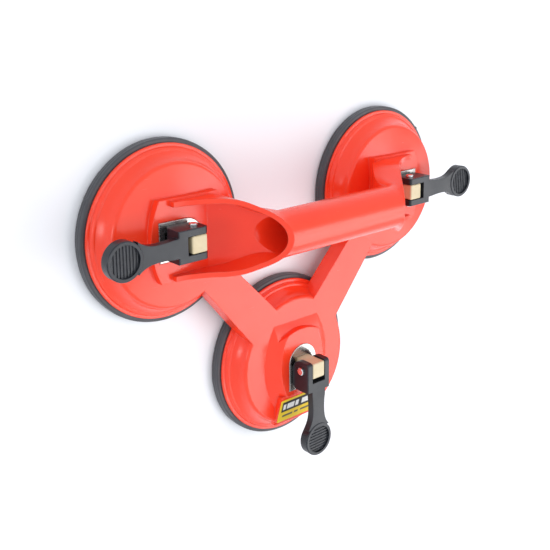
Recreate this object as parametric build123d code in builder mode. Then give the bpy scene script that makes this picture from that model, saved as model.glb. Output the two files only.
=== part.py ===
from build123d import *
import os
from math import sin, cos, tan, pi, radians, sqrt, atan2, degrees

# Three-cup vacuum lifter.  Millimetres, +Z up, suction plane at z = 0.
# Origin: centre of the footprint's bounding box, on the suction plane.
# The handle runs along X; the third cup stands on the -Y side.

# ---------------------------------------------------------------- sizes
pad_d = 120.0            # rubber cup diameter, the size the whole tool is built round
cup_x = 100.0            # half the distance between the two handle cups
cup_y = 112.6            # distance from the handle line to the third cup
pad_r = pad_d / 2

# rubber cup
pad_rim = 6.8            # thickness of the sealing rim
pad_web = 4.2            # top of the thin web inside the rim
pad_top = 15.0           # top of the central rubber boss
pad_boss_r = 13.0

# shell disc
flange_r = 57.1
flange_z = 6.95
disc_top = 22.0
deck_z = 29.2            # flat platform round the stem
hub_half = 31.0          # half length of the third cup's domed hub
hub_end_r = 36.0         # radius of its upright rear wall
facet_r = 55.0           # radius of the two side facets at disc_top level
facet_in = 30.0          # half width of the hub at disc_top level
mouth_end_r = 57.0       # radius of the platform's outer end below a mouth
mouth_end_x = 24.0

# clamping stem and pin
stem_w = 11.4            # across the yoke
stem_l = 11.4            # along the lever
stem_top = 46.0
pin_d = 5.6
pin_len = 24.0
cam_flat = 9.5           # pin centre to the lever's long bottom face
cam_up = 6.5             # pin centre to the lever's short end face
cam_gap = 0.05
lift = cam_flat - cam_up # travel of the stem
plate_t = 1.5
plate_top = 29.7
pin_z = plate_top + cam_gap + cam_flat

# lever
yoke_w = 20.8            # over the two ears
slot_w = 11.9
slot_end = 8.8           # from pin centre to the cross bar
yoke_out = 15.5
paddle_at = 53.0
paddle_r = 12.2
lever_t = 5.2
reach = paddle_at + paddle_r

# handle
tube_r = 15.0
tube_in = 11.7
tube_z = 62.0
mouth_w = 25.2           # half width of the mouth, outside
wall = 3.4
mouth_end = 109.5

# frame placement
row_y = (cup_y + reach - pad_r) / 2
cups = [
    ("left", -cup_x, row_y, 180.0),
    ("front", 0.0, row_y - cup_y, -90.0),
    ("right", cup_x, row_y, 0.0),
]

os.makedirs("parts", exist_ok=True)


def at(cx, cy, z=0.0):
    return Location((cx, cy, z))


# ---------------------------------------------------------------- shell hub
# Third cup: a low dome along the lever with a flat platform let into it, its
# two sides faceted by a pair of cones, its rear wall upright.
with BuildPart() as hub:
    with BuildSketch(Plane.YZ.offset(-45.0)):
        with BuildLine():
            ThreePointArc((-hub_half, disc_top), (0, deck_z - 0.3), (hub_half, disc_top))
            Polyline((hub_half, disc_top), (hub_half, 17.5), (-hub_half, 17.5), (-hub_half, disc_top))
        make_face()
    extrude(amount=90.0)
    with BuildSketch(Plane.XY.offset(17.5)):
        with Locations((0, 26.2 - hub_end_r)):
            Circle(hub_end_r)
        with Locations((0, 4.0)):
            Rectangle(90, 52, mode=Mode.INTERSECT)
    extrude(amount=deck_z - 17.5)
    for sx in (1, -1):
        with Locations((sx * (facet_r - facet_in), 0, 17.0 + 8.0)):
            Cone(facet_r + 7.0, facet_r - 15.0, 16.0, mode=Mode.INTERSECT)

# Platform below a handle mouth, its outer end rounded on a large radius.
with BuildPart() as mouth_deck:
    with Locations((-27, 0, 20)):
        Box(67, 53, deck_z - 20, align=(Align.MIN, Align.CENTER, Align.MIN))
    with Locations((mouth_end_x - mouth_end_r, 0, 20)):
        Cylinder(mouth_end_r, 20, align=(Align.CENTER, Align.CENTER, Align.MIN), mode=Mode.INTERSECT)

# What the third cup's disc leaves of the label seat.
fy = row_y - cup_y
with BuildPart() as seat_trim:
    with Locations((0, fy - 55.0, 15.0)):
        Box(60.0, 40.0, 20.0, align=(Align.CENTER, Align.CENTER, Align.MIN))
    with BuildSketch(Plane.XY.offset(10.0)):
        with Locations((0, fy)):
            Circle(47.3)
    extrude(amount=30.0, mode=Mode.SUBTRACT)
    with Locations((0, fy - 55.0, 10.0)):
        Box(70.0, 60.0, 11.3, align=(Align.CENTER, Align.CENTER, Align.MIN), mode=Mode.SUBTRACT)

# ---------------------------------------------------------------- handle duct
# Half width against distance from centre; above the axis the duct is round
# about the tube axis, below it the walls run straight down to the ramp.
flare = [(50.0, 0.0), (56.0, 0.7), (62.0, 3.0), (68.0, 6.4), (74.0, 9.0), (80.0, 10.1), (84.0, 10.2)]


def half_duct(r, ramp, x_end):
    # turned about the tube axis, the flared part cut off at axis height
    with BuildPart() as duct:
        with BuildSketch(Plane.XY.offset(tube_z)):
            with BuildLine():
                Line((0, row_y), (0, row_y + r))
                Line((0, row_y + r), (50, row_y + r))
                Spline(*[(x, row_y + r + w) for x, w in flare], tangents=((1, 0), (1, 0)))
                Polyline((84, row_y + r + 10.2), (x_end, row_y + r + 10.2), (x_end, row_y), (0, row_y))
            make_face()
        revolve(axis=Axis((0, row_y, tube_z), (1, 0, 0)))
        with Locations((60.0, row_y, tube_z)):
            Box(80, 80, 40, align=(Align.MIN, Align.CENTER, Align.MAX), mode=Mode.SUBTRACT)
    # straight walls down to the ramp
    with BuildPart() as skirt:
        with BuildSketch(Plane.XY.offset(tube_z)):
            with BuildLine():
                Line((50, row_y - r), (50, row_y + r))
                Spline(*[(x, row_y + r + w) for x, w in flare], tangents=((1, 0), (1, 0)))
                Polyline((84, row_y + r + 10.2), (x_end, row_y + r + 10.2),
                         (x_end, row_y - r - 10.2), (84, row_y - r - 10.2))
                Spline(*[(x, row_y - r - w) for x, w in flare], tangents=((1, 0), (1, 0)))
            make_face()
        extrude(amount=-(tube_z - 10.0))
        with BuildSketch(Plane.XZ.offset(-row_y - 40)):
            with BuildLine():
                Spline(*ramp)
                Polyline(ramp[-1], (x_end + 1, ramp[-1][1]), (x_end + 1, tube_z), ramp[0])
            make_face()
        extrude(amount=80.0, mode=Mode.INTERSECT)
    return duct, skirt


skin_duct, skin_skirt = half_duct(tube_r, [(50.0, tube_z), (52.0, 52.5), (56.0, 45.5), (62.0, 38.0),
                                           (69.0, 30.5), (76.0, 23.0), (80.0, 17.0)], 112.0)
core_duct, core_skirt = half_duct(tube_in, [(53.0, tube_z), (55.5, 54.5), (60.0, 48.0), (66.0, 41.5),
                                            (73.0, 34.8), (79.0, 30.8), (86.0, 27.0)], 113.0)

with BuildPart() as handle:
    for turn in (0, 180):
        spin = Location((0, row_y, 0), (0, 0, turn)) * Location((0, -row_y, 0))
        add(skin_duct.part.moved(spin))
        add(skin_skirt.part.moved(spin))
    for turn in (0, 180):
        spin = Location((0, row_y, 0), (0, 0, turn)) * Location((0, -row_y, 0))
        add(core_duct.part.moved(spin), mode=Mode.SUBTRACT)
        add(core_skirt.part.moved(spin), mode=Mode.SUBTRACT)
    # the scooped mouths: everything above this line is open
    for sx in (-1, 1):
        with BuildSketch(Plane.XZ.offset(-row_y)) as s_mouth:
            with BuildLine():
                Spline((sx * 113.0, 33.2), (sx * 103.0, 34.2), (sx * 95.0, 37.2), (sx * 86.0, 42.4),
                       (sx * 77.0, 49.6), (sx * 66.0, 60.2), (sx * 51.0, 77.6))
                Polyline((sx * 51.0, 77.6), (sx * 51.0, 95.0), (sx * 113.0, 95.0), (sx * 113.0, 33.2))
            make_face()
        extrude(amount=40.0, both=True, mode=Mode.SUBTRACT)
        # squared ends of the mouth walls
        with Locations((sx * (mouth_end + 10.0), row_y, 50.0)):
            Box(20.0, 80.0, 100.0, mode=Mode.SUBTRACT)
    # nothing of the duct hangs below the shell
    with Locations((0, row_y, 0)):
        Box(260.0, 80.0, 2 * 19.0, mode=Mode.SUBTRACT)

# ---------------------------------------------------------------- arms
arm_len = sqrt(cup_x ** 2 + cup_y ** 2)
arm_dir = degrees(atan2(-cup_y, cup_x))     # from the left cup to the front cup
arm_z0, arm_z1 = 9.2, disc_top

# ---------------------------------------------------------------- shell
with BuildPart() as frame:
    # stepped discs
    for tag, cx, cy, turn in cups:
        with BuildSketch(Plane((cx, cy, 0), (1, 0, 0), (0, -1, 0))):
            with BuildLine():
                Polyline((0, flange_z), (flange_r - 0.4, flange_z), (flange_r, flange_z + 0.4),
                         (flange_r, 8.2), (flange_r - 0.6, 8.8), (54.9, 8.8), (54.2, 10.4),
                         (53.4, 11.1), (52.3, 11.3))
                ThreePointArc((52.3, 11.3), (49.1, 15.3), (47.4, 19.9))
                ThreePointArc((47.4, 19.9), (46.5, 21.3), (44.9, 21.9))
                if tag == "front":
                    Polyline((44.9, 21.9), (36.0, 22.1), (0, 22.1), (0, flange_z))
                else:
                    Polyline((44.9, 21.9), (24.0, 24.6), (0, 24.6), (0, flange_z))
            make_face()
        revolve(axis=Axis((cx, cy, 0), (0, 0, 1)))
    # straight arms, a little wider at the front cup
    for sx in (-1, 1):
        arm_plane = Plane((sx * cup_x, row_y, arm_z0), (-sx * cup_x, -cup_y, 0), (0, 0, 1))
        with BuildSketch(arm_plane):
            with BuildLine():
                Polyline((30, -12.2), (45, -12.3), (112, -14.9), (130, -15.4),
                         (130, 15.4), (112, 14.9), (45, 12.3), (30, 12.2), close=True)
            make_face()
        extrude(amount=arm_z1 - arm_z0)
    # platform hubs
    add(hub.part.moved(at(0, row_y - cup_y)))
    for tag, cx, cy, turn in (cups[0], cups[2]):
        add(mouth_deck.part.moved(at(cx, cy) * Location((0, 0, 0), (0, 0, turn))))
    # sloping label seat in front of the third cup's stem
    with BuildSketch(Plane.YZ.offset(-20.5)) as s_seat:
        with BuildLine():
            Polyline((fy - 21.0, 18.0), (fy - 45.6, 18.0), (fy - 45.6, 21.8), (fy - 21.0, deck_z - 0.4),
                     close=True)
        make_face()
    extrude(amount=41.0)
    add(seat_trim.part, mode=Mode.SUBTRACT)
    add(handle.part)

    # hollow underside of each disc, ribs left standing
    for tag, cx, cy, turn in cups:
        with BuildSketch(Plane((cx, cy, 0), (1, 0, 0), (0, -1, 0))):
            with BuildLine():
                Polyline((0, 5), (50.6, 5), (50.6, 8.6), (49.2, 11.0), (45.0, 18.9), (23.6, 18.9),
                         (20.6, 25.4), (0, 25.4), close=True)
            make_face()
        revolve(axis=Axis((cx, cy, 0), (0, 0, 1)), mode=Mode.SUBTRACT)
        with BuildSketch(Plane.XY.offset(9.4)):
            with Locations((cx, cy)):
                with PolarLocations(0, 8, 22.5):
                    with Locations((32.3, 0)):
                        Rectangle(28.6, 2.2)
        extrude(amount=10.2)
        with BuildSketch(Plane.XY.offset(9.4)):
            with Locations((cx, cy)):
                Circle(19.8)
                Circle(17.6, mode=Mode.SUBTRACT)
        extrude(amount=16.4)
        # guide sleeve under the platform
        with BuildSketch(Plane.XY.offset(20.6)):
            with Locations((cx, cy)):
                Rectangle(17.0, 17.0)
        extrude(amount=6.0)
        # square way for the stem
        with BuildSketch(Plane.XY.offset(5.0)):
            with Locations(Location((cx, cy, 0), (0, 0, turn))):
                Rectangle(stem_l + 0.3, stem_w + 0.3)
        extrude(amount=30.0, mode=Mode.SUBTRACT)
        # shallow seat for the wear plate
        with BuildSketch(Plane.XY.offset(plate_top - plate_t)):
            with Locations(Location((cx, cy, 0), (0, 0, turn))):
                with Locations((-1.6, 0)):
                    Circle(12.9)
                with Locations((8.5, 0)):
                    Rectangle(20.2, 25.8)
        extrude(amount=3.0, mode=Mode.SUBTRACT)
    # channels under the arms
    for sx in (-1, 1):
        arm_plane = Plane((sx * cup_x, row_y, 5.0), (-sx * cup_x, -cup_y, 0), (0, 0, 1))
        with BuildSketch(arm_plane):
            with BuildLine():
                Polyline((58.5, -10.0), (91.5, -11.2), (91.5, 11.2), (58.5, 10.0), close=True)
            make_face()
            with Locations((75, 0)):
                Rectangle(2.2, 30, mode=Mode.SUBTRACT)
        extrude(amount=14.2, mode=Mode.SUBTRACT)
frame.part.label = "frame"
export_step(frame.part, "parts/frame.step")

# ---------------------------------------------------------------- rubber cups
for tag, cx, cy, turn in cups:
    with BuildPart() as pad:
        with BuildSketch(Plane((cx, cy, 0), (1, 0, 0), (0, -1, 0))):
            with BuildLine():
                Polyline((0, 2.2), (14.0, 2.0), (40.0, 1.1), (46.5, 0.0), (50.0, 0.0), (50.5, 0.6), (51.4, 0.6),
                         (51.9, 0.0), (59.2, 0.0), (pad_r, 0.9), (pad_r, pad_rim - 0.8),
                         (pad_r - 0.7, pad_rim), (50.4, pad_rim), (48.6, pad_web + 0.2), (46.0, pad_web),
                         (18.0, 5.0), (15.2, 6.0), (pad_boss_r, 8.6), (pad_boss_r, pad_top - 0.8),
                         (pad_boss_r - 0.8, pad_top), (0, pad_top), close=True)
            make_face()
        revolve(axis=Axis((cx, cy, 0), (0, 0, 1)))
    pad.part.label = "pad_" + tag
    export_step(pad.part, "parts/pad_" + tag + ".step")

# ---------------------------------------------------------------- steel inserts
# Disc on the rubber boss with a stud that screws into the stem.
ins_z = pad_top + 0.05
for tag, cx, cy, turn in cups:
    with BuildPart() as insert:
        with BuildSketch(Plane.XY.offset(ins_z)):
            with Locations((cx, cy)):
                Circle(12.4)
        extrude(amount=1.6)
        chamfer(insert.edges().group_by(Axis.Z)[-1], 0.3)
        with BuildSketch(Plane.XY.offset(ins_z + 1.0)):
            with Locations((cx, cy)):
                Circle(3.0)
        extrude(amount=6.6)
        chamfer(insert.edges().group_by(Axis.Z)[-1], 0.5)
    insert.part.label = "insert_" + tag
    export_step(insert.part, "parts/insert_" + tag + ".step")

# ---------------------------------------------------------------- stems
stem_foot = ins_z + 1.6
for tag, cx, cy, turn in cups:
    along = Plane((cx, cy, 0), (cos(radians(turn)), sin(radians(turn)), 0), (0, 0, 1))
    with BuildPart() as stem:
        with BuildSketch(along.offset(stem_foot)):
            RectangleRounded(stem_l, stem_w, 1.2)
        extrude(amount=stem_top - stem_foot)
        # rounded head, so the cross bar of the lever swings past it
        fillet(stem.edges().group_by(Axis.Z)[-1], 1.1)
        with Locations(Location((cx, cy, 0), (0, 0, turn))):
            for sx in (-1, 1):
                with Locations((sx * (stem_l / 2 + 0.6), 0, stem_top + 0.6)):
                    Box(2.6, 20, 2.6, rotation=(0, 45, 0), mode=Mode.SUBTRACT)
        # tapped hole for the stud
        with BuildSketch(Plane.XY.offset(stem_foot)):
            with Locations((cx, cy)):
                Circle(3.0)
        extrude(amount=7.5, mode=Mode.SUBTRACT)
        # cross hole for the pin
        with BuildSketch(Plane((cx, cy, pin_z), (cos(radians(turn)), sin(radians(turn)), 0),
                               (-sin(radians(turn)), cos(radians(turn)), 0))):
            Circle(pin_d / 2)
        extrude(amount=20, both=True, mode=Mode.SUBTRACT)
    stem.part.label = "stem_" + tag
    export_step(stem.part, "parts/stem_" + tag + ".step")

# ---------------------------------------------------------------- hinge pins
for tag, cx, cy, turn in cups:
    with BuildPart() as pin:
        with BuildSketch(Plane((cx, cy, pin_z), (cos(radians(turn)), sin(radians(turn)), 0),
                               (-sin(radians(turn)), cos(radians(turn)), 0))):
            Circle(pin_d / 2)
        extrude(amount=pin_len / 2, both=True)
        chamfer(pin.edges().filter_by(GeomType.CIRCLE), 0.5)
    pin.part.label = "pin_" + tag
    export_step(pin.part, "parts/pin_" + tag + ".step")

# ---------------------------------------------------------------- wear plates
for tag, cx, cy, turn in cups:
    along = Plane((cx, cy, 0), (cos(radians(turn)), sin(radians(turn)), 0), (0, 0, 1))
    with BuildPart() as plate:
        with BuildSketch(along.offset(plate_top - plate_t)):
            with Locations((-1.6, 0)):
                Circle(12.8)
            with Locations((8.45, 0)):
                Rectangle(20.1, 25.6)
        extrude(amount=plate_t)
        fillet(plate.edges().group_by(Axis.Z)[-1], 0.4)
        with BuildSketch(along.offset(plate_top - plate_t - 1)):
            Rectangle(stem_l + 0.6, stem_w + 0.6)
        extrude(amount=5, mode=Mode.SUBTRACT)
    plate.part.label = "plate_" + tag
    export_step(plate.part, "parts/plate_" + tag + ".step")

# ---------------------------------------------------------------- cam levers
# Cam outline for a flat follower: the distance from pin centre to the plate
# falls in proportion to the angle, from cam_flat (lever down) to cam_up.
k = lift / (pi / 2)
cam = []
for i in range(0, 13):
    a = (pi / 2) * i / 12                     # 0 = inner end face, 90 deg = bottom face
    h = cam_up + k * a
    # directions seen from the side: inward is -x, down is -z
    nx, nz = -cos(a), -sin(a)
    tx, tz = sin(a), -cos(a)
    cam.append((h * nx + k * tx, h * nz + k * tz))
top_u = stem_top - pin_z                      # lever top, level with the stem
for tag, cx, cy, turn in cups:
    side = Plane((cx, cy, pin_z), (cos(radians(turn)), sin(radians(turn)), 0),
                 (sin(radians(turn)), -cos(radians(turn)), 0))
    flat = Plane((cx, cy, 0), (cos(radians(turn)), sin(radians(turn)), 0), (0, 0, 1))
    with BuildPart() as lever:
        # yoke with the cam on its inner end
        with BuildSketch(side):
            with BuildLine():
                Spline(*cam)
                Polyline(cam[-1], (yoke_out - 2.6, -cam_flat), (yoke_out, -cam_flat + 4.0),
                         (yoke_out, top_u), (-cam_up + 2.4, top_u))
                ThreePointArc((-cam_up + 2.4, top_u), (-cam_up + 0.7, top_u - 0.7), (-cam_up, top_u - 2.4))
                Line((-cam_up, top_u - 2.4), cam[0])
            make_face()
        extrude(amount=yoke_w / 2, both=True)
        fillet(lever.edges().filter_by(GeomType.LINE).group_by(Axis.Z)[-1], 0.6)
        # arm, waisted, running out into the round thumb paddle
        with BuildSketch(flat.offset(stem_top - lever_t)):
            with BuildLine():
                Line((12.0, -6.2), (yoke_out, -6.2))
                Spline((yoke_out, -6.2), (22.0, -5.7), (31.0, -5.4), (38.5, -6.7), (44.0, -10.0),
                       tangents=((1, 0), (1, -0.9)))
                Line((44.0, -10.0), (44.0, 10.0))
                Spline((44.0, 10.0), (38.5, 6.7), (31.0, 5.4), (22.0, 5.7), (yoke_out, 6.2),
                       tangents=((-1, -0.9), (-1, 0)))
                Line((yoke_out, 6.2), (12.0, 6.2))
                Line((12.0, 6.2), (12.0, -6.2))
            make_face()
        extrude(amount=lever_t)
        with BuildSketch(flat.offset(stem_top - 6.0)):
            with Locations((paddle_at, 0)):
                Circle(paddle_r)
        extrude(amount=6.0)
        with Locations(flat.offset(stem_top).location * Location((paddle_at, 0, 0.3))):
            Cone(paddle_r, paddle_r - 0.5, 0.6)
        # dished thumb face with grip ribs
        with BuildSketch(flat.offset(stem_top - 1.3)):
            with Locations((paddle_at, 0)):
                Circle(9.9)
        extrude(amount=4.0, mode=Mode.SUBTRACT)
        with BuildSketch(flat.offset(stem_top - 1.4)):
            with Locations((paddle_at, 0)):
                Circle(9.9)
                with GridLocations(2.2, 1, 10, 1):
                    Rectangle(1.2, 30, mode=Mode.SUBTRACT)
        extrude(amount=0.7)
        # slot for the stem and holes for the pin
        with BuildSketch(flat.offset(plate_top - 2)):
            with Locations((-20 + slot_end, 0)):
                Rectangle(40, slot_w)
        extrude(amount=30, mode=Mode.SUBTRACT)
        with BuildSketch(side):
            Circle(pin_d / 2 + 0.06)
        extrude(amount=20, both=True, mode=Mode.SUBTRACT)
        # weight-saving pocket under the cross bar
        with BuildSketch(flat.offset(plate_top - 1)):
            with Locations((11.9, 0)):
                Rectangle(3.4, 12.0)
        extrude(amount=9.0, mode=Mode.SUBTRACT)
    lever.part.label = "lever_" + tag
    export_step(lever.part, "parts/lever_" + tag + ".step")

# ---------------------------------------------------------------- label
# Thin sticker lying on the sloping seat of the front cup.
seat_drop = (deck_z - 0.4 - 21.8) / 24.6
label_y0, label_y1 = fy - 24.6, fy - 43.5
mid_y = (label_y0 + label_y1) / 2
mid_z = deck_z - 0.4 - seat_drop * (fy - 21.0 - mid_y) + 0.02
slope = Plane((0, mid_y, mid_z), (1, 0, 0), (0, -seat_drop, 1))
with BuildPart() as label:
    with BuildSketch(slope):
        RectangleRounded(38.4, 19.7, 0.8)
    extrude(amount=0.25)
label.part.label = "label"
export_step(label.part, "parts/label.step")
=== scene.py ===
import bpy, bmesh, math, random
from mathutils import Matrix, Vector


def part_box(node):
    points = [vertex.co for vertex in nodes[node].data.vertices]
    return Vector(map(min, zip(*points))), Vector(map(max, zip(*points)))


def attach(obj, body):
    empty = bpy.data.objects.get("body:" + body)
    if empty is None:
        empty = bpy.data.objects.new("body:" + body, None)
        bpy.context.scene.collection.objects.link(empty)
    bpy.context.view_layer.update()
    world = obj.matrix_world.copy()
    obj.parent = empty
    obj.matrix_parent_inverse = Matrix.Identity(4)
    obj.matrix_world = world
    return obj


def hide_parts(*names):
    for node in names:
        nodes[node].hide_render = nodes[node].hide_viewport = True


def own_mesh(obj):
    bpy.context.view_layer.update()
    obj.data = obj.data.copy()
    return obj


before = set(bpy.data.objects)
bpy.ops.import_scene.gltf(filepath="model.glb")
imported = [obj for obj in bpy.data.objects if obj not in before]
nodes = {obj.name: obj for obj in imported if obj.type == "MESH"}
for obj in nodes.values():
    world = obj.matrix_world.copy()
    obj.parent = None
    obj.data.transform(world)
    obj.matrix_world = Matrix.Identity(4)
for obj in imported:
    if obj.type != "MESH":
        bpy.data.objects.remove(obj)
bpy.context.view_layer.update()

random.seed(7)
ROW_Y = (112.6 + 65.2 - 60.0) / 2 / 1000
CUPS = {"left": (-0.100, ROW_Y, 180.0), "front": (0.0, ROW_Y - 0.1126, -90.0), "right": (0.100, ROW_Y, 0.0)}
PIN_Z = 0.03925
scene = bpy.context.scene


# ------------------------------------------------------------------ shader helpers
class Mat:
    """A node material built up from small pieces."""

    def __init__(self, name):
        self.m = bpy.data.materials.new(name)
        self.m.use_nodes = True
        self.t = self.m.node_tree
        self.t.nodes.clear()
        self.out = self.n("ShaderNodeOutputMaterial")
        self.bsdf = self.n("ShaderNodeBsdfPrincipled")
        self.link(self.bsdf.outputs[0], self.out.inputs[0])
        self.co = self.n("ShaderNodeTexCoord").outputs["Object"]

    def n(self, kind, **props):
        node = self.t.nodes.new(kind)
        for k, v in props.items():
            setattr(node, k, v)
        return node

    def link(self, a, b):
        self.t.links.new(a, b)

    def put(self, sock, v):
        if hasattr(v, "is_linked") or hasattr(v, "links"):
            self.link(v, sock)
        else:
            sock.default_value = v

    def set(self, **kw):
        for k, v in kw.items():
            self.put(self.bsdf.inputs[k.replace("_", " ")], v)

    def scaled(self, sx, sy, sz, rot=(0, 0, 0)):
        mp = self.n("ShaderNodeMapping")
        mp.inputs["Scale"].default_value = (sx, sy, sz)
        mp.inputs["Rotation"].default_value = rot
        self.link(self.co, mp.inputs[0])
        return mp.outputs[0]

    def noise(self, scale, detail=3.0, rough=0.5, co=None, distort=0.0):
        nd = self.n("ShaderNodeTexNoise")
        nd.inputs["Scale"].default_value = scale
        nd.inputs["Detail"].default_value = detail
        nd.inputs["Roughness"].default_value = rough
        nd.inputs["Distortion"].default_value = distort
        self.link(co or self.co, nd.inputs["Vector"])
        return nd.outputs["Fac"]

    def ramp(self, fac, stops):
        r = self.n("ShaderNodeValToRGB")
        while len(r.color_ramp.elements) < len(stops):
            r.color_ramp.elements.new(0.5)
        for e, (p, c) in zip(r.color_ramp.elements, stops):
            e.position = p
            e.color = c if len(c) == 4 else (*c, 1)
        self.link(fac, r.inputs[0])
        return r.outputs[0]

    def val(self, fac, a, b, lo=0.0, hi=1.0):
        r = self.n("ShaderNodeMapRange")
        r.inputs["From Min"].default_value = lo
        r.inputs["From Max"].default_value = hi
        r.inputs["To Min"].default_value = a
        r.inputs["To Max"].default_value = b
        self.link(fac, r.inputs["Value"])
        return r.outputs["Result"]

    def math(self, op, a, b=0.0, c=0.0):
        nd = self.n("ShaderNodeMath", operation=op)
        for i, v in enumerate((a, b, c)):
            self.put(nd.inputs[i], v)
        return nd.outputs[0]

    def mix(self, fac, a, b, mode="MIX"):
        nd = self.n("ShaderNodeMix", data_type="RGBA", blend_type=mode)
        self.put(nd.inputs["Factor"], fac)
        self.put(nd.inputs["A"], (*a, 1) if isinstance(a, tuple) and len(a) == 3 else a)
        self.put(nd.inputs["B"], (*b, 1) if isinstance(b, tuple) and len(b) == 3 else b)
        return nd.outputs["Result"]

    def bevel(self, radius, samples=4):
        nd = self.n("ShaderNodeBevel", samples=samples)
        nd.inputs["Radius"].default_value = radius
        return nd.outputs[0]

    def bump(self, height, strength, distance, normal=None):
        nd = self.n("ShaderNodeBump")
        nd.inputs["Strength"].default_value = strength
        nd.inputs["Distance"].default_value = distance
        self.link(height, nd.inputs["Height"])
        if normal is not None:
            self.link(normal, nd.inputs["Normal"])
        return nd.outputs[0]

    def edges(self, bevel_normal, lo=0.0015, hi=0.05):
        """A mask that is 1 where the bevelled normal leaves the true one: on edges."""
        geo = self.n("ShaderNodeNewGeometry")
        dot = self.n("ShaderNodeVectorMath", operation="DOT_PRODUCT")
        self.link(bevel_normal, dot.inputs[0])
        self.link(geo.outputs["Normal"], dot.inputs[1])
        away = self.math("SUBTRACT", 1.0, dot.outputs["Value"])
        return self.val(away, 0.0, 1.0, lo, hi)

    def cavity(self, distance, samples=4):
        ao = self.n("ShaderNodeAmbientOcclusion", samples=samples)
        ao.inputs["Distance"].default_value = distance
        ao.only_local = True
        return ao.outputs["AO"]


def red_plastic():
    s = Mat("shell_abs")
    bev = s.bevel(0.0009, 4)
    cloud = s.noise(26.0, 3.0, 0.55)
    flow = s.noise(9.0, 2.0, 0.5, s.scaled(1, 3, 1), 0.6)
    col = s.mix(s.val(cloud, 0.0, 1.0, 0.3, 0.7), (0.950, 0.045, 0.013), (0.985, 0.054, 0.018))
    col = s.mix(s.val(flow, 0.0, 0.4, 0.45, 0.75), col, (0.960, 0.058, 0.016))
    # edges pale a little where hands and glass rub; corners and recesses are darkened by an ambient-occlusion mask,
    # which is painted shade
    edge = s.edges(bev)
    rub = s.math("MULTIPLY", edge, s.val(s.noise(120.0, 4.0), 0.0, 0.35, 0.42, 0.68))
    col = s.mix(rub, col, (0.98, 0.20, 0.13))
    # painted shade: ambient occlusion darkens the red towards (0.62, 0.010, 0.004) in corners and recesses
    grime_and_cavity_shade = s.val(s.cavity(0.004), 0.16, 0.0, 0.30, 0.85)
    col = s.mix(grime_and_cavity_shade, col, (0.62, 0.010, 0.004))
    fine = s.noise(520.0, 2.0, 0.6)
    smear = s.noise(38.0, 5.0, 0.65, s.scaled(1, 1.6, 1), 0.4)
    rough = s.val(smear, 0.17, 0.27, 0.35, 0.7)
    # fine scuffs
    scr = s.noise(46.0, 2.0, 0.5, s.scaled(1, 38, 9, (0.2, 0.1, 0.7)))
    rough = s.math("ADD", rough, s.val(scr, 0.0, 0.04, 0.66, 0.74))
    h = s.math("ADD", s.math("MULTIPLY", fine, 0.25), s.noise(45.0, 1.0))
    nrm = s.bump(h, 0.06, 0.0002, bev)
    s.set(Base_Color=col, Roughness=rough, Normal=nrm, IOR=1.50)
    s.bsdf.inputs["Subsurface Weight"].default_value = 0.09
    s.bsdf.inputs["Subsurface Radius"].default_value = (0.004, 0.0008, 0.0004)
    s.bsdf.inputs["Subsurface Scale"].default_value = 1.0
    return s.m


def rubber():
    s = Mat("cup_rubber")
    bev = s.bevel(0.0005, 3)
    cloud = s.noise(40.0, 4.0, 0.6)
    col = s.mix(s.val(cloud, 0.0, 1.0, 0.3, 0.7), (0.040, 0.041, 0.047), (0.058, 0.059, 0.067))
    # talc and dust bloom
    dust = s.val(s.noise(210.0, 6.0, 0.7), 0.0, 0.16, 0.52, 0.75)
    col = s.mix(dust, col, (0.10, 0.105, 0.11))
    rub = s.math("MULTIPLY", s.edges(bev), 0.25)
    col = s.mix(rub, col, (0.08, 0.085, 0.095))
    rough = s.val(s.noise(90.0, 4.0), 0.40, 0.58, 0.3, 0.7)
    h = s.math("ADD", s.noise(900.0, 2.0), s.math("MULTIPLY", s.noise(130.0, 3.0), 0.8))
    s.set(Base_Color=col, Roughness=rough, Normal=s.bump(h, 0.12, 0.0002, bev), IOR=1.5)
    s.bsdf.inputs["Sheen Weight"].default_value = 0.12
    return s.m


def nylon():
    s = Mat("lever_nylon")
    bev = s.bevel(0.0006, 4)
    cloud = s.noise(60.0, 4.0, 0.6)
    col = s.mix(s.val(cloud, 0.0, 1.0, 0.3, 0.7), (0.008, 0.010, 0.014), (0.015, 0.018, 0.025))
    flow = s.noise(30.0, 3.0, 0.6, s.scaled(1, 6, 3), 1.2)
    col = s.mix(s.val(flow, 0.0, 0.30, 0.55, 0.8), col, (0.028, 0.032, 0.042))
    edge = s.math("MULTIPLY", s.edges(bev), s.val(s.noise(260.0, 3.0), 0.15, 0.75, 0.4, 0.65))
    col = s.mix(edge, col, (0.075, 0.082, 0.10))
    rough = s.val(s.noise(75.0, 4.0), 0.26, 0.40, 0.3, 0.7)
    h = s.math("ADD", s.noise(1400.0, 2.0), s.math("MULTIPLY", s.noise(240.0, 3.0), 0.7))
    s.set(Base_Color=col, Roughness=rough, Normal=s.bump(h, 0.16, 0.0002, bev), IOR=1.44)
    return s.m


def cream():
    s = Mat("stem_cream")
    bev = s.bevel(0.0007, 4)
    cloud = s.noise(110.0, 4.0, 0.6)
    col = s.mix(s.val(cloud, 0.0, 1.0, 0.3, 0.7), (0.60, 0.50, 0.30), (0.68, 0.58, 0.37))
    grime_and_cavity_shade = s.val(s.noise(420.0, 5.0, 0.7), 0.0, 0.35, 0.56, 0.78)
    col = s.mix(grime_and_cavity_shade, col, (0.42, 0.32, 0.17))
    edge = s.math("MULTIPLY", s.edges(bev), 0.4)
    col = s.mix(edge, col, (0.76, 0.68, 0.50))
    rough = s.val(s.noise(160.0, 4.0), 0.34, 0.52, 0.3, 0.7)
    h = s.math("ADD", s.noise(1500.0, 2.0), s.math("MULTIPLY", s.noise(300.0, 3.0, 0.5, s.scaled(1, 1, 0.2)), 1.0))
    s.set(Base_Color=col, Roughness=rough, Normal=s.bump(h, 0.15, 0.0002, bev), IOR=1.5)
    s.bsdf.inputs["Subsurface Weight"].default_value = 0.08
    s.bsdf.inputs["Subsurface Radius"].default_value = (0.002, 0.0015, 0.0008)
    return s.m


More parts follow.
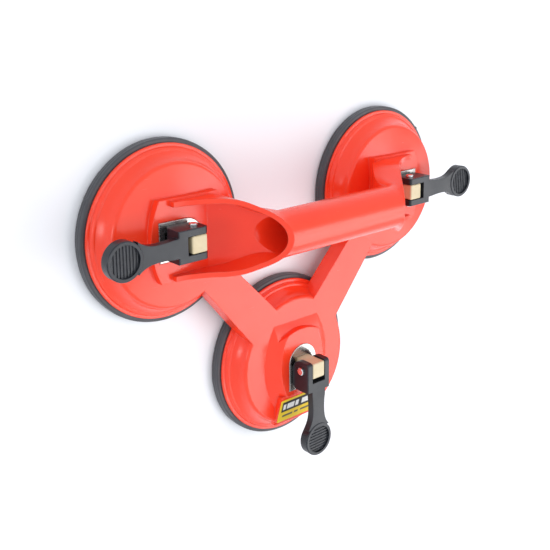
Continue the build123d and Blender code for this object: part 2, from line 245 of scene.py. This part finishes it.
def metal(name, base, rough_lo, rough_hi, brush, bevel_r=0.0003, tint=(0.45, 0.42, 0.38)):
    s = Mat(name)
    bev = s.bevel(bevel_r, 3)
    grain = s.noise(260.0, 4.0, 0.6, s.scaled(*brush))
    blotch = s.noise(90.0, 4.0, 0.6)
    col = s.mix(s.val(grain, 0.0, 1.0, 0.3, 0.7), tuple(c * 0.86 for c in base), base)
    col = s.mix(s.val(blotch, 0.0, 0.30, 0.52, 0.78), col, tint)
    rough = s.math("ADD", s.val(grain, rough_lo, rough_hi, 0.3, 0.7), s.val(blotch, 0.0, 0.08, 0.4, 0.7))
    s.set(Base_Color=col, Metallic=1.0, Roughness=rough, Normal=s.bump(grain, 0.12, 0.0001, bev))
    return s.m


def label_print():
    """Yellow sticker, dark band, generic bars: drawn from the sticker's own place."""
    s = Mat("label_print")
    lo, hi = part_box("label")
    w, d = hi.x - lo.x, hi.y - lo.y
    sep = s.n("ShaderNodeSeparateXYZ")
    s.link(s.co, sep.inputs[0])
    u = s.math("DIVIDE", s.math("SUBTRACT", sep.outputs[0], lo.x), w)
    v = s.math("DIVIDE", s.math("SUBTRACT", sep.outputs[1], lo.y), d)

    def inside(x, a, b, soft=0.008):
        up = s.val(x, 0.0, 1.0, a - soft, a + soft)
        dn = s.val(x, 1.0, 0.0, b - soft, b + soft)
        return s.math("MULTIPLY", up, dn)

    def rect(x0, x1, y0, y1):
        return s.math("MULTIPLY", inside(u, x0, x1), inside(v, y0, y1, 0.014))

    cloud = s.noise(160.0, 4.0, 0.6)
    yellow = s.mix(s.val(cloud, 0.0, 1.0, 0.3, 0.7), (0.80, 0.53, 0.012), (0.86, 0.61, 0.022))
    band = rect(0.050, 0.955, 0.44, 0.90)
    col = s.mix(band, yellow, (0.012, 0.012, 0.011))
    # row of generic pale blocks in the band
    for x0, x1, y0, y1 in ((0.085, 0.15, 0.54, 0.78), (0.18, 0.36, 0.54, 0.78), (0.39, 0.47, 0.54, 0.78),
                           (0.55, 0.76, 0.54, 0.78), (0.80, 0.91, 0.54, 0.78)):
        col = s.mix(rect(x0, x1, y0, y1), col, (0.80, 0.79, 0.76))
    # thin dark lines below it
    for x0, x1, y0, y1 in ((0.10, 0.36, 0.20, 0.29), (0.40, 0.50, 0.20, 0.29), (0.56, 0.88, 0.20, 0.29)):
        col = s.mix(rect(x0, x1, y0, y1), col, (0.10, 0.09, 0.05))
    wear = s.val(s.noise(380.0, 5.0, 0.7), 0.0, 0.30, 0.60, 0.78)
    col = s.mix(wear, col, (0.66, 0.55, 0.30))
    rough = s.val(s.noise(60.0, 3.0), 0.40, 0.55, 0.3, 0.7)
    h = s.noise(220.0, 3.0)
    s.set(Base_Color=col, Roughness=rough, Normal=s.bump(h, 0.10, 0.0002), IOR=1.33)
    return s.m


RED = red_plastic()
RUBBER = rubber()
NYLON = nylon()
CREAM = cream()
ZINC = metal("insert_zinc", (0.66, 0.66, 0.64), 0.28, 0.42, (1, 1, 1), 0.0002, (0.50, 0.46, 0.36))
BRIGHT = metal("pin_steel", (0.84, 0.84, 0.85), 0.16, 0.28, (6, 6, 6), 0.0002, (0.62, 0.60, 0.58))
PLATE = metal("plate_steel", (0.52, 0.50, 0.48), 0.16, 0.28, (1, 14, 1), 0.0003, (0.42, 0.39, 0.35))
LABEL = label_print()


def dress(obj, mat):
    obj.data.materials.clear()
    obj.data.materials.append(mat)


def smooth(obj, angle=32.0):
    me = obj.data
    me.polygons.foreach_set("use_smooth", [True] * len(me.polygons))
    me.set_sharp_from_angle(angle=math.radians(angle))


LOOKS = {"frame": (RED, "shell"), "label": (LABEL, "label")}
for tag in CUPS:
    LOOKS["pad_" + tag] = (RUBBER, "rubber")
    LOOKS["insert_" + tag] = (ZINC, "steel")
    LOOKS["stem_" + tag] = (CREAM, "stem")
    LOOKS["pin_" + tag] = (BRIGHT, "steel_bright")
    LOOKS["plate_" + tag] = (PLATE, "plate")
    LOOKS["lever_" + tag] = (NYLON, "lever")
for name, (mat, slot) in LOOKS.items():
    o = nodes[name]
    dress(o, mat)
    smooth(o)


# ------------------------------------------------------------------ rubber cups
def lathe(name, profile, centre, steps=256, closed=True, tweak=None):
    """A ring turned from (radius, height) points; tweak(angle, r, z) may shift a point."""
    bm = bmesh.new()
    rows = []
    for i in range(steps):
        a = 2 * math.pi * i / steps
        row = []
        for r, z in profile:
            if tweak:
                r, z = tweak(a, r, z)
            row.append(bm.verts.new((centre[0] + r * math.cos(a), centre[1] + r * math.sin(a), z)))
        rows.append(row)
    m = len(profile)
    for i in range(steps):
        p, q = rows[i], rows[(i + 1) % steps]
        for j in range(m if closed else m - 1):
            bm.faces.new((p[j], q[j], q[(j + 1) % m], p[(j + 1) % m]))
    bmesh.ops.recalc_face_normals(bm, faces=bm.faces)
    me = bpy.data.meshes.new(name)
    bm.to_mesh(me)
    bm.free()
    o = bpy.data.objects.new(name, me)
    scene.collection.objects.link(o)
    smooth(o, 40)
    return o


def arc(cx, cz, r, a0, a1, n):
    return [(cx + r * math.cos(math.radians(a0 + (a1 - a0) * i / n)),
             cz + r * math.sin(math.radians(a0 + (a1 - a0) * i / n))) for i in range(n + 1)]


for tag, (cx, cy, turn) in CUPS.items():
    # sealing rim: rounded section, parting line half way up, small mould nib
    prof = []
    prof += [(0.0470, 0.0001), (0.0482, 0.0), (0.0499, 0.0), (0.0503, 0.0005), (0.0511, 0.0005), (0.0515, 0.0), (0.0550, 0.0), (0.0589, 0.0)]
    prof += arc(0.0590, 0.0010, 0.0010, -90, 0, 5)
    prof += [(0.0600, 0.0022), (0.0600, 0.0032), (0.06012, 0.0034), (0.0600, 0.0036), (0.0600, 0.0050)]
    prof += arc(0.0589, 0.0057, 0.0011, 0, 90, 6)
    prof += [(0.0580, 0.0068), (0.0540, 0.0068), (0.0506, 0.0068), (0.0500, 0.0066), (0.0488, 0.0046), (0.0470, 0.0042)]
    nib = {"left": 151.0, "front": 20.0, "right": 40.0}[tag]

    def lumpy(a, r, z, nib=math.radians(nib), seed={"left": 0.0, "front": 2.0, "right": 4.0}[tag]):
        if r > 0.0585 and z > 0.0004:
            r += 0.00006 * math.sin(5 * a + seed) + 0.00004 * math.sin(11 * a + 2 * seed)
            d = abs((a - nib + math.pi) % (2 * math.pi) - math.pi) * 0.06
            if d < 0.0014 and z > 0.0015:
                r += 0.0008 * (1 - (d / 0.0014) ** 2)
        return r, z

    rim = lathe("cup_rim_" + tag, prof, (cx, cy), 512, tweak=lumpy)
    dress(rim, RUBBER)
    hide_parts("pad_" + tag)
    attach(rim, "shell")
    # web and central boss, drawn down and up with the stem
    web = [(0.0, 0.0022), (0.008, 0.00215), (0.014, 0.0020), (0.026, 0.0016), (0.040, 0.0011), (0.0468, 0.0002),
           (0.0468, 0.0041), (0.0440, 0.0042), (0.030, 0.0046), (0.020, 0.0050), (0.0165, 0.0055), (0.0142, 0.0068), (0.0132, 0.0086), (0.0130, 0.0100),
           (0.0130, 0.0138), (0.0127, 0.0146), (0.0121, 0.0150), (0.0, 0.0150)]
    web[0] = (0.00005, web[0][1])
    web[-1] = (0.00005, web[-1][1])
    mid = lathe("cup_web_" + tag, web, (cx, cy), 160)
    dress(mid, RUBBER)
    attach(mid, "shell")
    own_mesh(mid)

# ------------------------------------------------------------------ stage and camera
def area(name, loc, target, sx, sy, power, colour=(1, 1, 1)):
    li = bpy.data.lights.new(name, "AREA")
    li.shape = "RECTANGLE"
    li.size, li.size_y = sx, sy
    li.energy = power
    li.color = colour
    o = bpy.data.objects.new(name, li)
    scene.collection.objects.link(o)
    o.location = loc
    o.rotation_euler = (Vector(target) - Vector(loc)).to_track_quat("-Z", "Y").to_euler()
    return o


bm = bmesh.new()
bmesh.ops.create_grid(bm, x_segments=8, y_segments=8, size=4.0)
fm = bpy.data.meshes.new("floor")
bm.to_mesh(fm)
bm.free()
floor = bpy.data.objects.new("floor", fm)
scene.collection.objects.link(floor)
floor.location = (0, 0, -0.0002)
fs = Mat("floor_pale")
fs.set(Base_Color=fs.mix(fs.val(fs.noise(3.0), 0, 1, 0.3, 0.7), (0.86, 0.875, 0.90), (0.88, 0.89, 0.91)), Roughness=fs.val(fs.noise(5.0), 0.55, 0.65))
dress(floor, fs.m)

key = area("key", (0.80, -0.45, 0.90), (0, 0, 0.02), 1.2, 0.9, 7.3)
top = area("top", (0.55, -0.10, 1.25), (0, 0, 0), 1.0, 1.2, 3.0)
left = area("left", (-1.15, 0.15, 0.30), (0, 0, 0.02), 0.22, 0.40, 1.3)
world = bpy.data.worlds.new("studio")
world.use_nodes = True
world.node_tree.nodes["Background"].inputs[0].default_value = (0.93, 0.95, 1.0, 1)
world.node_tree.nodes["Background"].inputs[1].default_value = 0.98
scene.world = world
scene.view_settings.view_transform = "Standard"

# The picture's viewing angle: rotation and place of the eye worked out from the three cups.
rv = Vector((3.15288437, -0.15585226, 1.12414142))
R = Matrix.Rotation(rv.length, 3, rv.normalized())     # row frame to eye (x right, y down, z ahead)
eye = Vector((-0.40068, 0.15140 + ROW_Y, 0.45658))
cam_data = bpy.data.cameras.new("eye")
cam = bpy.data.objects.new("eye", cam_data)
scene.collection.objects.link(cam)
cam.matrix_world = Matrix.Translation(eye) @ (R.transposed() @ Matrix(((1, 0, 0), (0, -1, 0), (0, 0, -1)))).to_4x4()
cam_data.sensor_width = 36.0
cam_data.lens = 876.687 / 550 * 36.0
cam_data.shift_x = (275 - 242.2728) / 550
cam_data.shift_y = -(275 - 189.7145) / 550
cam_data.clip_start = 0.01
scene.camera = cam
